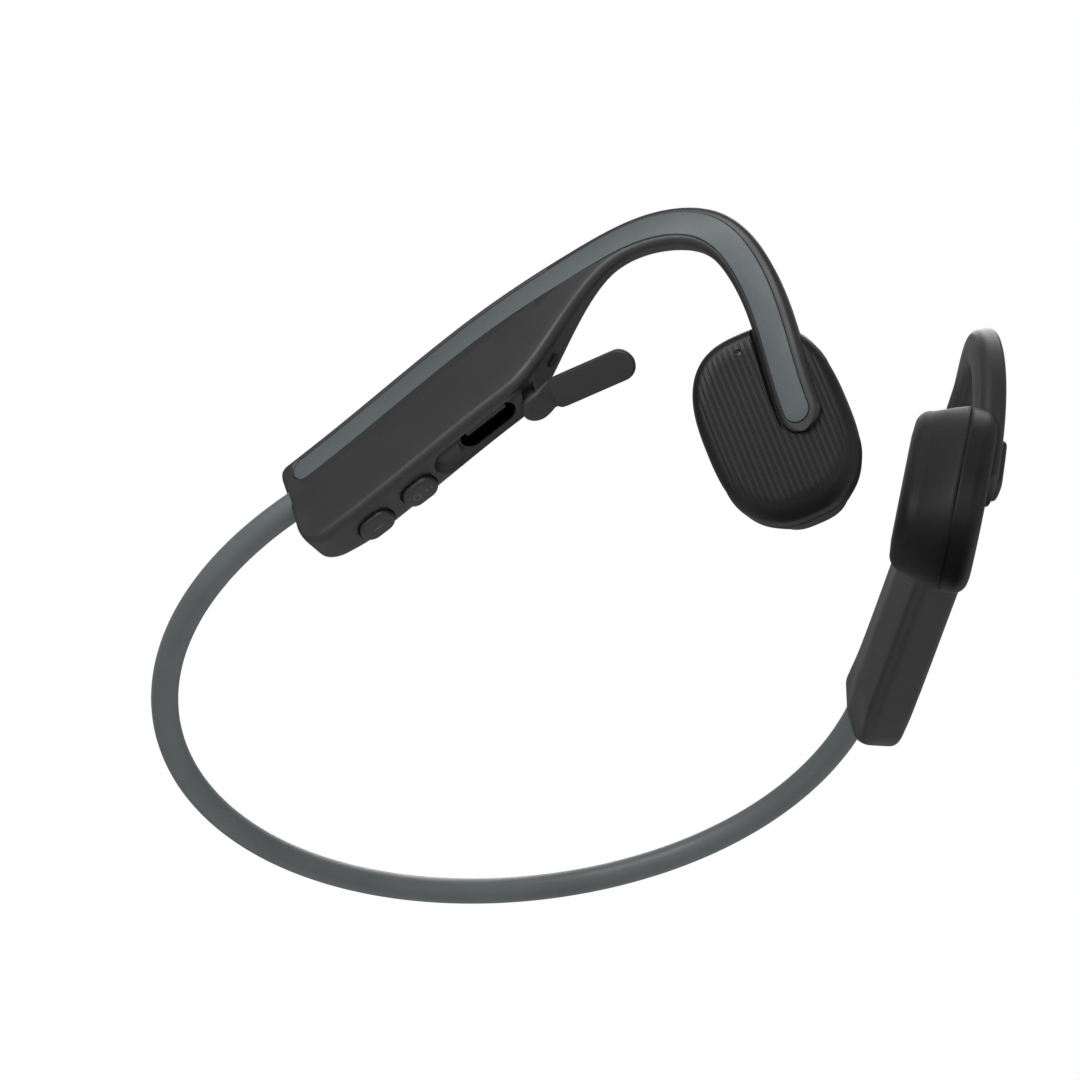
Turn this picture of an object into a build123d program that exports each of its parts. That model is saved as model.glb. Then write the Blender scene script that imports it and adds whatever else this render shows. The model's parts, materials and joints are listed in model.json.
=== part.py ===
from build123d import *
from math import cos, radians, sin
import os

# Bone conduction headphones: a springy neckband joins two modules that sit behind the ears.
# Each module runs on as an ear hook, and each hook ends in a pod that rests in front of the ear.
#
# Row frame, in millimetres: +Z up as worn, the wearer faces -Y, the wearer's right is -X.
# The origin is in the mid-plane, at the height where the neckband enters the modules.
#
# Everything on one side is drawn in the side frame: x forward along the module, y up and
# z outward, away from the head. place() puts it on the right, or mirrors it to the left.

os.makedirs("parts", exist_ok=True)

# ---------------------------------------------------------------- driving dimensions
HALF_SPAN = 54.0              # mid-plane to the neckband's end, in X
TOE_IN = 20.6                 # how far the modules turn in towards the face, degrees

# neckband
BAND_DEPTH = 64.7             # how far behind the origin the neckband's back lies
BAND_RISE = 3.0               # height of the neckband's back
BAND_FLARE = 18.0             # outward angle of the neckband where it leaves a module
BAND_HANDLE = 34.7            # reach of the neckband curve's control points
BAND_RADIUS = 1.95
BAND_END = (0.4, 0.0, -0.7)   # in the side frame
WIRE_RADIUS = 0.5             # titanium alloy spring wire
CABLE_RADIUS = 0.55           # bundle of leads beside the wire
CORE_OFFSET = 0.7             # wire and cable sit this far above and below the centre
BAND_DIP = 0.8                # drop of the neckband curve's first control point
WIRE_TAIL = 5.0               # how far wire and cable reach into a module
SLEEVE_TAIL = 1.5             # how far the sleeve reaches into a module
SLIP = 0.03                   # clearance round parts that are threaded through

# trim strip, whose centre line runs up the module, over the hook and down to the pod
ARM_POINTS = [
    (1.0, 3.75, 0.4), (20.0, 6.45, 0.7), (38.0, 9.1, 0.85), (52.0, 10.0, 0.4), (63.0, 9.6, -0.9),
    (69.6, 5.9, -2.7), (72.2, -1.5, -5.0), (71.8, -11.0, -7.9), (69.7, -25.9, -13.4),
]
STRIP_WIDTH = 3.6
STRIP_THICKNESS = 0.8
STRIP_PROUD = 0.1             # how far the strip stands out of the soft surface
STRIP_START, STRIP_END = 0.036, 0.968   # round end centres, as fractions of the arm's length

# cross sections, as (up, outward) from the strip's centre: outer top, outer bottom,
# inner bottom, inner middle and inner top corners
MODULE_SECTION = [(3.0, -0.15), (-14.7, 1.5), (-14.5, -5.8), (-5.0, -4.5), (1.6, -1.9)]
REAR_SECTION = [(2.5, -0.2), (-13.6, 1.2), (-13.9, -4.4), (-5.6, -4.4), (0.9, -2.6)]
HOOK_SECTION = [(2.9, -0.15), (-2.9, -0.15), (-2.7, -3.6), (0.0, -3.8), (2.7, -3.6)]
MODULE_ROUND = [0.4, 1.0, 1.2, 3.0, 0.8]
HOOK_ROUND = [1.0, 1.0, 1.4, 2.0, 1.4]

# along the arm: how far the section has turned from module into hook, on its outer and inner side
NECKING = [
    (0.06, 0.0, 0.0), (0.20, 0.0, 0.0), (0.32, 0.0, 0.0), (0.365, 0.05, 0.13), (0.41, 0.26, 0.42),
    (0.45, 0.52, 0.68), (0.49, 0.80, 0.87), (0.53, 1.0, 1.0),
]
HOUSING_END = 0.45            # fraction of the arm's length where the module ends
HOOK_STATIONS = [0.57, 0.61, 0.65, 0.69, 0.73, 0.77, 0.82, 0.88, 0.94, 1.0]

RIBBON_STEP = 0.03            # spacing of the sections along a strip
END_RELIEF = 0.01             # the round ends are this much narrower than their strip
WALL = 1.2                    # housing wall
COVER_THICKNESS = 1.3         # outer cover plate
CAVITY_END = 0.42             # fraction of the arm's length where the cavity ends
CAVITY_ROUND = 0.0            # the cavity has sharp corners
CLEAR = 3.0                   # how far a cutting shape reaches past the surface it cuts
REST_GAP = 0.05               # gap left between two parts that nearly touch
CORD_STEPS = 12               # points along a hook's wire and leads
HOOK_CORE_START, HOOK_CORE_END = 0.40, 0.955
HOOK_WIRE_AT = [(-0.3, -2.2), (0.8, -2.75)]     # at both ends, as (up, outward)
HOOK_LEADS_AT = [(-1.7, -2.2), (-0.9, -2.75)]
STRIP_GAP = 0.05              # reveal round the strip in its groove

# flat underside of the right module: charging port and volume buttons.
# Underside frame: x forward, y outward, z down and out of the housing.
UNDERSIDE_ORIGIN = (31.9, -6.6, -1.6)
UNDERSIDE_SLOPE = 8.4
RECESS_LENGTH, RECESS_WIDTH, RECESS_DEPTH = 18.6, 4.5, 1.2
RECESS_RUN_OUT = 3.0          # the recess runs out forward, into the curve under the hook
BOSS_MARGIN = 1.0             # wall round and under the recess
PORT_WIDTH, PORT_HEIGHT = 8.94, 3.26      # USB-C receptacle opening
PORT_DEPTH = 5.8
PORT_SHELL, PORT_BACK = 0.2, 0.4          # wall round and behind the opening
TONGUE_WIDTH, TONGUE_HEIGHT, TONGUE_LENGTH = 6.69, 0.7, 4.45
TONGUE_CORNER = 0.3
GASKET_WALL = 0.4
GASKET_AT, GASKET_HEIGHT = -3.3, 0.7
BUTTON_LENGTH, BUTTON_WIDTH = 5.4, 3.7
BUTTON_PROUD, BUTTON_SUNK = 0.9, 0.4
BUTTON_TRAVEL = 0.35
BUTTON_GAP = 0.1
BUTTON_OUTWARD = -0.7         # button centres, outward of the port's centre
MINUS_AT, PLUS_AT = -20.4, -12.9   # along the underside from the port's centre
PLUNGER_LENGTH, PLUNGER_WIDTH, PLUNGER_END = 3.4, 1.7, -2.4
KEY_SWITCH = (3.4, 2.2, 1.2)

# port cover: a rubber flap that pulls out on a stem, swivels and bends at its neck
STEM_FORWARD = 7.05           # stem, forward of the port's centre
STEM_RADIUS = 0.8
STEM_END, STEM_ROOM = -6.0, 0.2
BARB_RADIUS, BARB_HEIGHT = 1.15, 0.5
COVER_LIFT = 2.6              # how far the stem is pulled out
COVER_WIDTH = 4.2
COVER_LENGTH = 18.3
COVER_PLATE = 1.1
NECK_AT = 4.75                # bend line, forward of the port's centre when closed
NECK_RADIUS, NECK_GAP, NECK_SETBACK = 0.6, 0.1, 0.35
NECK_CORNER = 1.4             # the flap's corners beside the neck, clear of the housing when pushed in
OPEN_AXIS = (0.8493, 0.4960, -0.1805)   # the neck lets the open flap droop and twist about this axis
OPEN_TURN = 46.4              # by this many degrees
COVER_SWING = 174.0           # how far the cover swivels between closed and open, degrees
PLUG_LENGTH, PLUG_WIDTH, PLUG_WALL, PLUG_HEIGHT = 8.5, 2.85, 0.65, 0.7

# pod. Pod frame: x forward, y up the pod, z out of the ribbed face.
POD_ORIGIN = (65.7, -20.8, -15.5)
POD_YAW, POD_LEAN = 11.5, 24.0
POD_WIDTH, POD_LENGTH, POD_CORNER = 19.8, 27.2, 8.6
POD_SHELL_HEIGHT = 3.9
POD_PAD_DEPTH = 7.5
PAD_FACE_WIDTH, PAD_FACE_LENGTH, PAD_FACE_CORNER = 13.6, 25.6, 5.6
PAD_STRAIGHT = 2.2            # height of the upright band at the contact face
PAD_EDGE = 1.6
POD_EDGE = 2.2
POD_WALL = 1.1
GASKET_HALF = 0.15            # half the thickness of the gasket on the parting plane
GASKET_INSET = 0.3            # how far the gasket is set back from the pod's outline
PAD_WALL = 1.3
MIC_AT = (-0.8, 10.7)
MIC_RADIUS, MIC_HEIGHT, PINHOLE_RADIUS = 1.2, 1.0, 0.35

# transducer, all in the pod frame: a magnet and yoke that shake against a coil on a plate
DRIVER_CORNER = 1.2
PLATE_THICKNESS = 0.6
BRACKET_SIZE, BRACKET_BORE = (10.0, 20.0), (8.9, 18.0)
BRACKET_TOP = -2.08
COIL_SIZE, COIL_BORE, COIL_HEIGHT = (7.0, 11.0), (5.6, 9.6), 1.9
MAGNET_SIZE = (5.0, 9.0)
YOKE_SIZE, YOKE_BORE, YOKE_THICKNESS = (8.4, 12.4), (7.6, 11.6), 0.7
YOKE_LOW, YOKE_BASE = -5.0, -3.0
SPRING_BORE, SPRING_THICKNESS = (3.0, 12.0), 0.25

# multifunction button at the end of the left trim strip
MULTI_START, MULTI_END = 0.905, 0.968   # round end centres, as fractions of the arm's length
MULTI_LENGTH = 10.2
LEFT_STRIP_END = 0.92         # the left strip runs into the button's pocket
MULTI_LOW, MULTI_PROUD = -0.9, 0.8
MULTI_TRAVEL = 0.3
SWITCH_SIZE, SWITCH_HEIGHT, SWITCH_CORNER = 2.4, 0.8, 0.3

# inside the modules. Bay frame: x forward, y up, z outward; centre x, y, then inner face z
BAY_ORIGIN = (22.0, 0.0, 0.0)
BAY_CORNER = 0.3
BOARD_AT, BOARD_SIZE = (0.0, 1.0, -1.1), (22.6, 3.0, 0.8)
BOARD_LOWER_AT, BOARD_LOWER_SIZE = (-5.0, -2.6, -1.1), (15.0, 4.8, 0.8)
SHIELD_AT, SHIELD_SIZE = (-4.6, -1.0, -2.3), (6.2, 5.4, 1.2)
MODULE_MIC_AT, MODULE_MIC_SIZE = (11.5, 1.2, -2.0), (2.8, 2.0, 0.9)
STATUS_LED_AT, STATUS_LED_SIZE = (1.9, -3.2, -1.5), (1.2, 0.8, 0.4)
BATTERY_AT, BATTERY_SIZE = (1.5, -2.6, -2.5), (25.0, 6.6, 2.1)
FOAM_AT, FOAM_SIZE = (1.5, -2.6, -0.4), (22.0, 5.4, 0.3)
BATTERY_BOARD_AT, BATTERY_BOARD_SIZE = (0.0, 2.1, -1.5), (14.0, 2.2, 0.6)
SCREW_RADIUS, SCREW_HEAD_RADIUS = 0.5, 0.9
SCREW_HEAD_HEIGHT, SCREW_LENGTH = 0.4, 1.9
BOARD_SCREWS = [(-9.0, 1.0), (6.0, 1.0)]

# ---------------------------------------------------------------- frames and helpers
TOE = radians(TOE_IN)
RIGHT_SIDE = Plane(
    origin=(-HALF_SPAN, 0, 0), x_dir=(sin(TOE), -cos(TOE), 0), z_dir=(-cos(TOE), -sin(TOE), 0)
)
SLOPE = radians(UNDERSIDE_SLOPE)
UNDERSIDE = Plane(
    origin=UNDERSIDE_ORIGIN, x_dir=(cos(SLOPE), sin(SLOPE), 0), z_dir=(sin(SLOPE), -cos(SLOPE), 0)
)
YAW, LEAN = radians(POD_YAW), radians(POD_LEAN)
POD = Plane(
    origin=POD_ORIGIN,
    x_dir=(cos(YAW), 0, -sin(YAW)),
    z_dir=(sin(YAW) * cos(LEAN), -sin(LEAN), cos(YAW) * cos(LEAN)),
)

POD_AXIS = Axis(POD.origin, POD.z_dir)


def place(solid, left=False):
    """Move a part from the side frame to the right side, or mirror it to the left."""
    placed = RIGHT_SIDE.location * solid
    return mirror(placed, about=Plane.YZ) if left else placed


def save(part, name):
    part.label = name
    export_step(part, f"parts/{name}.step")


def save_side(part, name, side):
    save(place(part, left=side == "left"), f"{side}_{name}")


with BuildLine() as arm_line:
    Spline(*ARM_POINTS)
arm = arm_line.edges()[0]


def station(t):
    """Plane across the arm: x away from the hook's inside, y outward, z along the arm."""
    tangent = arm % t
    outward = Vector(0, 0, 1) - tangent * tangent.Z
    return Plane(origin=arm @ t, x_dir=outward.cross(tangent), z_dir=tangent)


def blend(a, b, weights):
    return [tuple(p + (q - p) * w for p, q in zip(u, v)) for u, v, w in zip(a, b, weights)]


def section_at(outer, inner):
    """Corners and rounding of the cross section between module (0) and hook (1)."""
    weights = [outer, outer, inner, inner, outer]
    corners = blend(MODULE_SECTION, HOOK_SECTION, weights)
    rounds = [p + (q - p) * w for p, q, w in zip(MODULE_ROUND, HOOK_ROUND, weights)]
    return corners, rounds


def inset(corners, distance):
    """Corners moved towards the inside of a five-cornered section."""
    top, bottom, low, middle, high = corners
    return [
        (top[0] - 2 * distance, top[1] - distance),
        (bottom[0] + distance, bottom[1] - distance),
        (low[0] + distance, low[1] + distance),
        (middle[0], middle[1] + distance),
        (high[0] - 1.5 * distance, high[1] + 0.4 * distance),
    ]


def draw_section(t, corners, rounds):
    """A rounded five-cornered face across the arm."""
    with BuildSketch(station(t)) as face:
        with BuildLine():
            FilletPolyline(*corners, radius=rounds, close=True)
        make_face()
    return face.sketch


def stadium(plane, length, width, height):
    """A round-ended bar standing on a plane, long way along the plane's x."""
    with BuildPart() as bar:
        with BuildSketch(plane):
            SlotOverall(length, width)
        extrude(amount=height)
    return bar.part


def slab(plane, length, width, height, corner):
    """A rounded rectangle standing on a plane."""
    with BuildPart() as plate:
        with BuildSketch(plane):
            RectangleRounded(length, width, corner)
        extrude(amount=height)
    return plate.part


def ribbon(start, end, width, low, high):
    """A strip along the arm between two heights on its outer face, with round ends."""
    count = max(2, round((end - start) / RIBBON_STEP))
    with BuildPart() as strip:
        for i in range(count + 1):
            with BuildSketch(station(start + (end - start) * i / count)):
                with Locations((0, (low + high) / 2)):
                    Rectangle(width, high - low)
        loft()
        for t in (start, end):
            across = station(t)
            with BuildSketch(Plane(origin=across.from_local_coords((0, low)), z_dir=across.y_dir)):
                Circle(width / 2 - END_RELIEF)
            extrude(amount=high - low)
    return strip.part


def cord(start, end, radius):
    """A round wire inside the arm, between two places in its cross section."""
    points = []
    for i in range(CORD_STEPS + 1):
        w = i / CORD_STEPS
        across = station(HOOK_CORE_START + (HOOK_CORE_END - HOOK_CORE_START) * w)
        points.append(across.from_local_coords(tuple(p + (q - p) * w for p, q in zip(start, end))))
    with BuildPart() as wire:
        with BuildLine() as path:
            Spline(*points)
        with BuildSketch(Plane(origin=path.line @ 0, z_dir=path.line % 0)):
            Circle(radius)
        sweep(path=path.line)
    return wire.part


# ---------------------------------------------------------------- neckband
def band_half(side):
    """Control points of one half of the neckband's centre line, from its end to the back."""
    end = RIGHT_SIDE.from_local_coords(BAND_END)
    flare = radians(BAND_FLARE)
    points = [
        (end.X, end.Y, end.Z),
        (end.X - BAND_HANDLE * sin(flare), end.Y + BAND_HANDLE * cos(flare), end.Z - BAND_DIP),
        (-BAND_HANDLE, BAND_DEPTH, BAND_RISE),
        (0, BAND_DEPTH, BAND_RISE),
    ]
    return [(-side * x, y, z) for x, y, z in points]


def band_sweep(radius, rise, tail):
    """A round cord along the neckband, raised from its centre and reaching past its ends."""
    lift = Vector(0, 0, rise)
    right = [Vector(p) + lift for p in band_half(-1)]
    left = [Vector(p) + lift for p in band_half(1)]
    with BuildPart() as band_cord:
        with BuildLine() as path:
            Line(right[0] + (right[0] - right[1]).normalized() * tail, right[0])
            Bezier(*right)
            Bezier(*reversed(left))
            Line(left[0], left[0] + (left[0] - left[1]).normalized() * tail)
        with BuildSketch(Plane(origin=path.wire() @ 0, z_dir=path.wire() % 0)):
            Circle(radius)
        sweep(path=path.wire())
    return band_cord.part


neckband_wire = band_sweep(WIRE_RADIUS, CORE_OFFSET, WIRE_TAIL)
neckband_cable = band_sweep(CABLE_RADIUS, -CORE_OFFSET, WIRE_TAIL)
neckband_sleeve = (
    band_sweep(BAND_RADIUS, 0, SLEEVE_TAIL)
    - band_sweep(WIRE_RADIUS + SLIP, CORE_OFFSET, WIRE_TAIL)
    - band_sweep(CABLE_RADIUS + SLIP, -CORE_OFFSET, WIRE_TAIL)
)
save(neckband_sleeve, "neckband_sleeve")
save(neckband_wire, "neckband_wire")
save(neckband_cable, "neckband_cable")

# ---------------------------------------------------------------- module and ear hook bodies
module_stations = [(t, *section_at(outer, inner)) for t, outer, inner in NECKING]
rear_station = (0.0, REAR_SECTION, MODULE_ROUND)

with BuildPart() as module_body:
    for t, corners, rounds in [rear_station] + module_stations:
        if t <= HOUSING_END:
            add(draw_section(t, corners, rounds))
    loft()

with BuildPart() as hook_body:
    for t, corners, rounds in module_stations:
        if t >= HOUSING_END:
            add(draw_section(t, corners, rounds))
    for t in HOOK_STATIONS:
        add(draw_section(t, HOOK_SECTION, HOOK_ROUND))
    loft()

with BuildPart() as module_cavity:
    for t, corners, rounds in module_stations:
        if t <= CAVITY_END:
            add(draw_section(t, inset(corners, WALL), CAVITY_ROUND))
    loft()

# everything outward of the seam between the cover and the shell
with BuildPart() as cover_zone:
    for t, corners, _ in [rear_station] + module_stations:
        if t <= HOUSING_END:
            top, bottom = corners[0], corners[1]
            with BuildSketch(station(t)):
                with BuildLine():
                    Polyline(
                        (top[0] + CLEAR, top[1] - COVER_THICKNESS),
                        (bottom[0] - CLEAR, bottom[1] - COVER_THICKNESS),
                        (bottom[0] - CLEAR, bottom[1] + CLEAR),
                        (top[0] + CLEAR, top[1] + CLEAR),
                        close=True,
                    )
                make_face()
    loft()

# hollow in the module for the neckband's end
band_socket = RIGHT_SIDE.location.inverse() * band_sweep(BAND_RADIUS + SLIP, 0, SLEEVE_TAIL + SLIP)
core_socket = RIGHT_SIDE.location.inverse() * (
    band_sweep(WIRE_RADIUS + SLIP, CORE_OFFSET, WIRE_TAIL + CLEAR)
    + band_sweep(CABLE_RADIUS + SLIP, -CORE_OFFSET, WIRE_TAIL + CLEAR)
)

strip_groove = ribbon(STRIP_START, STRIP_END, STRIP_WIDTH + 2 * STRIP_GAP, -STRIP_THICKNESS, 1.0)
trim_strip = ribbon(
    STRIP_START, STRIP_END, STRIP_WIDTH, SLIP - STRIP_THICKNESS, STRIP_PROUD
)
blank_cover = (module_body.part & cover_zone.part) - module_cavity.part - strip_groove
housing_cover = blank_cover - band_socket - core_socket
blank_shell = module_body.part - cover_zone.part - module_cavity.part - band_socket - core_socket

# the ear hook carries a spring wire and the pod's leads
hook_wire = cord(*HOOK_WIRE_AT, WIRE_RADIUS)
hook_leads = cord(*HOOK_LEADS_AT, CABLE_RADIUS)
hook_bore = cord(*HOOK_WIRE_AT, WIRE_RADIUS + SLIP) + cord(*HOOK_LEADS_AT, CABLE_RADIUS + SLIP)
blank_shell = blank_shell - hook_bore
ear_hook = hook_body.part - strip_groove - hook_bore

# ---------------------------------------------------------------- pod
with BuildPart() as pod_shell:
    with BuildSketch(POD.offset(GASKET_HALF)):
        RectangleRounded(POD_WIDTH, POD_LENGTH, POD_CORNER)
    extrude(amount=POD_SHELL_HEIGHT - GASKET_HALF)
    fillet(pod_shell.faces().sort_by(POD_AXIS)[-1].edges(), POD_EDGE)
    with BuildSketch(POD.offset(GASKET_HALF)):
        RectangleRounded(POD_WIDTH - 2 * POD_WALL, POD_LENGTH - 2 * POD_WALL, POD_CORNER - POD_WALL)
    extrude(amount=POD_SHELL_HEIGHT - GASKET_HALF - POD_WALL, mode=Mode.SUBTRACT)

with BuildPart() as pod_pad:
    with BuildSketch(POD.offset(-GASKET_HALF)):
        RectangleRounded(POD_WIDTH, POD_LENGTH, POD_CORNER)
    with BuildSketch(POD.offset(PAD_STRAIGHT - POD_PAD_DEPTH)):
        RectangleRounded(PAD_FACE_WIDTH, PAD_FACE_LENGTH, PAD_FACE_CORNER)
    loft(ruled=True)
    with BuildSketch(POD.offset(PAD_STRAIGHT - POD_PAD_DEPTH)):
        RectangleRounded(PAD_FACE_WIDTH, PAD_FACE_LENGTH, PAD_FACE_CORNER)
    extrude(amount=-PAD_STRAIGHT)
    fillet(pod_pad.faces().sort_by(POD_AXIS)[0].edges(), PAD_EDGE)

with BuildPart() as pad_cavity:
    with BuildSketch(POD.offset(-GASKET_HALF)):
        RectangleRounded(POD_WIDTH - 2 * PAD_WALL, POD_LENGTH - 2 * PAD_WALL, POD_CORNER - PAD_WALL)
    with BuildSketch(POD.offset(PAD_WALL - POD_PAD_DEPTH)):
        RectangleRounded(
            PAD_FACE_WIDTH - 2 * PAD_WALL, PAD_FACE_LENGTH - 2 * PAD_WALL, PAD_FACE_CORNER - PAD_WALL
        )
    loft(ruled=True)

with BuildPart() as pod_gasket:
    with BuildSketch(POD.offset(-GASKET_HALF)):
        RectangleRounded(
            POD_WIDTH - 2 * GASKET_INSET, POD_LENGTH - 2 * GASKET_INSET, POD_CORNER - GASKET_INSET
        )
        RectangleRounded(
            POD_WIDTH - 2 * POD_WALL, POD_LENGTH - 2 * POD_WALL, POD_CORNER - POD_WALL,
            mode=Mode.SUBTRACT,
        )
    extrude(amount=2 * GASKET_HALF)

shell_of_pod = pod_shell.part - hook_body.part - strip_groove
gasket_of_pod = pod_gasket.part - hook_body.part
pad_of_pod = pod_pad.part - pad_cavity.part


def driver_ring(size, hole, low, high):
    """A rectangular ring of the transducer, between two heights in the pod."""
    with BuildPart() as ring:
        with BuildSketch(POD.offset(low)):
            RectangleRounded(*size, DRIVER_CORNER)
            if hole:
                RectangleRounded(*hole, DRIVER_CORNER, mode=Mode.SUBTRACT)
        extrude(amount=high - low)
    return ring.part


plate_top = PAD_WALL - POD_PAD_DEPTH + PLATE_THICKNESS
vibration_plate = driver_ring(BRACKET_SIZE, None, PAD_WALL - POD_PAD_DEPTH, plate_top)
driver_bracket = driver_ring(BRACKET_SIZE, BRACKET_BORE, plate_top, BRACKET_TOP)
voice_coil = driver_ring(COIL_SIZE, COIL_BORE, plate_top, plate_top + COIL_HEIGHT)
driver_magnet = driver_ring(MAGNET_SIZE, None, YOKE_LOW, YOKE_BASE)
driver_yoke = driver_ring(YOKE_SIZE, YOKE_BORE, YOKE_LOW, YOKE_BASE) + driver_ring(
    YOKE_SIZE, None, YOKE_BASE, YOKE_BASE + YOKE_THICKNESS
)
driver_spring = driver_ring(BRACKET_SIZE, SPRING_BORE, BRACKET_TOP, BRACKET_TOP + SPRING_THICKNESS)

for side in ("right", "left"):
    save_side(pad_of_pod, "pod_pad", side)
    save_side(gasket_of_pod, "pod_gasket", side)
    save_side(vibration_plate, "vibration_plate", side)
    save_side(driver_bracket, "driver_bracket", side)
    save_side(voice_coil, "voice_coil", side)
    save_side(driver_magnet, "driver_magnet", side)
    save_side(driver_yoke, "driver_yoke", side)
    save_side(driver_spring, "driver_spring", side)
    save_side(hook_wire, "hook_wire", side)
    save_side(hook_leads, "hook_leads", side)

# ---------------------------------------------------------------- right pod: microphone
mic_plane = POD.offset(POD_SHELL_HEIGHT - POD_WALL)
with BuildPart() as pod_microphone:
    with BuildSketch(mic_plane):
        with Locations(MIC_AT):
            Circle(MIC_RADIUS)
    extrude(amount=-MIC_HEIGHT)
with BuildPart() as mic_hole:
    with BuildSketch(mic_plane):
        with Locations(MIC_AT):
            Circle(PINHOLE_RADIUS)
    extrude(amount=2 * POD_WALL)
save_side(pod_microphone.part, "pod_microphone", "right")
save_side(shell_of_pod - mic_hole.part, "pod_shell", "right")
save_side(ear_hook, "ear_hook", "right")
save_side(trim_strip, "trim_strip", "right")

# ---------------------------------------------------------------- left pod: multifunction button
button_station = station((MULTI_START + MULTI_END) / 2)
BUTTON_PLANE = Plane(
    origin=button_station.origin, x_dir=button_station.z_dir, z_dir=button_station.y_dir
)
pocket_floor = MULTI_LOW - MULTI_TRAVEL - REST_GAP
button_pocket = stadium(
    BUTTON_PLANE.offset(pocket_floor), MULTI_LENGTH + 2 * BUTTON_GAP,
    STRIP_WIDTH + 2 * BUTTON_GAP, CLEAR - pocket_floor,
)
multifunction_button = stadium(
    BUTTON_PLANE.offset(MULTI_LOW), MULTI_LENGTH, STRIP_WIDTH, MULTI_PROUD - MULTI_LOW
)
switch_floor = BUTTON_PLANE.offset(pocket_floor - SWITCH_HEIGHT)
left_groove = ribbon(STRIP_START, LEFT_STRIP_END, STRIP_WIDTH + 2 * STRIP_GAP, -STRIP_THICKNESS, 1.0)
left_strip = ribbon(
    STRIP_START, LEFT_STRIP_END, STRIP_WIDTH, SLIP - STRIP_THICKNESS, STRIP_PROUD
)
left_hook = hook_body.part - left_groove - hook_bore - button_pocket
multifunction_switch = slab(switch_floor, SWITCH_SIZE, SWITCH_SIZE, SWITCH_HEIGHT, SWITCH_CORNER)
switch_room = SWITCH_SIZE + 2 * REST_GAP
switch_pocket = slab(
    switch_floor, switch_room, switch_room, SWITCH_HEIGHT + MULTI_TRAVEL, SWITCH_CORNER
)
save_side(shell_of_pod - button_pocket, "pod_shell", "left")
save_side(left_hook - switch_pocket, "ear_hook", "left")
save_side(left_strip - button_pocket, "trim_strip", "left")
save_side(multifunction_button, "multifunction_button", "left")
save_side(multifunction_switch, "multifunction_switch", "left")

# ---------------------------------------------------------------- left module: battery
BAY = Plane(origin=BAY_ORIGIN, x_dir=(cos(SLOPE), sin(SLOPE), 0), z_dir=(0, 0, 1))


def bay_box(at, size):
    """A rounded block inside the module: centre along and up the bay, and its inner face."""
    x, y, inner_face = at
    length, height, depth = size
    with BuildPart() as block:
        with BuildSketch(BAY.offset(inner_face)):
            with Locations((x, y)):
                RectangleRounded(length, height, BAY_CORNER)
        extrude(amount=depth)
    return block.part


battery = bay_box(BATTERY_AT, BATTERY_SIZE)
battery_foam = bay_box(FOAM_AT, FOAM_SIZE)
battery_board = bay_box(BATTERY_BOARD_AT, BATTERY_BOARD_SIZE)
save_side(housing_cover, "housing_cover", "left")
save_side(blank_shell, "housing_shell", "left")
save(place(battery, left=True), "battery")
save(place(battery_foam, left=True), "battery_foam")
save(place(battery_board, left=True), "battery_board")

# ---------------------------------------------------------------- right module: electronics
# charging port, set in a recess in the underside
def underside_bar(x, y, low, high, length, width):
    """A round-ended bar along the underside, between two heights."""
    with BuildPart() as bar:
        with BuildSketch(UNDERSIDE.offset(low)):
            with Locations((x, y)):
                SlotOverall(length, width)
        extrude(amount=high - low)
    return bar.part


def underside_disc(x, low, high, radius):
    """A round peg square to the underside, between two heights."""
    with BuildPart() as disc:
        with BuildSketch(UNDERSIDE.offset(low)):
            with Locations((x, 0)):
                Circle(radius)
        extrude(amount=high - low)
    return disc.part


floor = -RECESS_DEPTH
port_outer = (PORT_WIDTH + 2 * PORT_SHELL, PORT_HEIGHT + 2 * PORT_SHELL)
port_body = underside_bar(0, 0, floor - PORT_DEPTH, floor, *port_outer)
port_back = floor - PORT_DEPTH + PORT_BACK
port_bore = underside_bar(0, 0, port_back, floor + CLEAR, PORT_WIDTH, PORT_HEIGHT)
usb_c_receptacle = port_body - port_bore
with BuildPart() as usb_c_tongue:
    with BuildSketch(UNDERSIDE.offset(port_back)):
        RectangleRounded(TONGUE_WIDTH, TONGUE_HEIGHT, TONGUE_CORNER)
    extrude(amount=TONGUE_LENGTH)
gasket_outer = (port_outer[0] + 2 * GASKET_WALL, port_outer[1] + 2 * GASKET_WALL)
gasket_body = underside_bar(0, 0, GASKET_AT, GASKET_AT + GASKET_HEIGHT, *gasket_outer)
port_gasket = gasket_body - port_body
save(place(usb_c_receptacle), "usb_c_receptacle")
save(place(usb_c_tongue.part), "usb_c_tongue")
save(place(port_gasket), "port_gasket")

recess = underside_bar(
    RECESS_RUN_OUT / 2, 0, floor, CLEAR, RECESS_LENGTH + RECESS_RUN_OUT, RECESS_WIDTH
)
boss = underside_bar(
    0, 0, floor - BOSS_MARGIN, 0, RECESS_LENGTH + 2 * BOSS_MARGIN, RECESS_WIDTH + 2 * BOSS_MARGIN
)
stem_bore = underside_disc(STEM_FORWARD, STEM_END - STEM_ROOM, CLEAR, STEM_RADIUS + SLIP)
barb_room = underside_disc(
    STEM_FORWARD, STEM_END - STEM_ROOM, floor - BOSS_MARGIN, BARB_RADIUS + BUTTON_GAP
)

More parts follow.
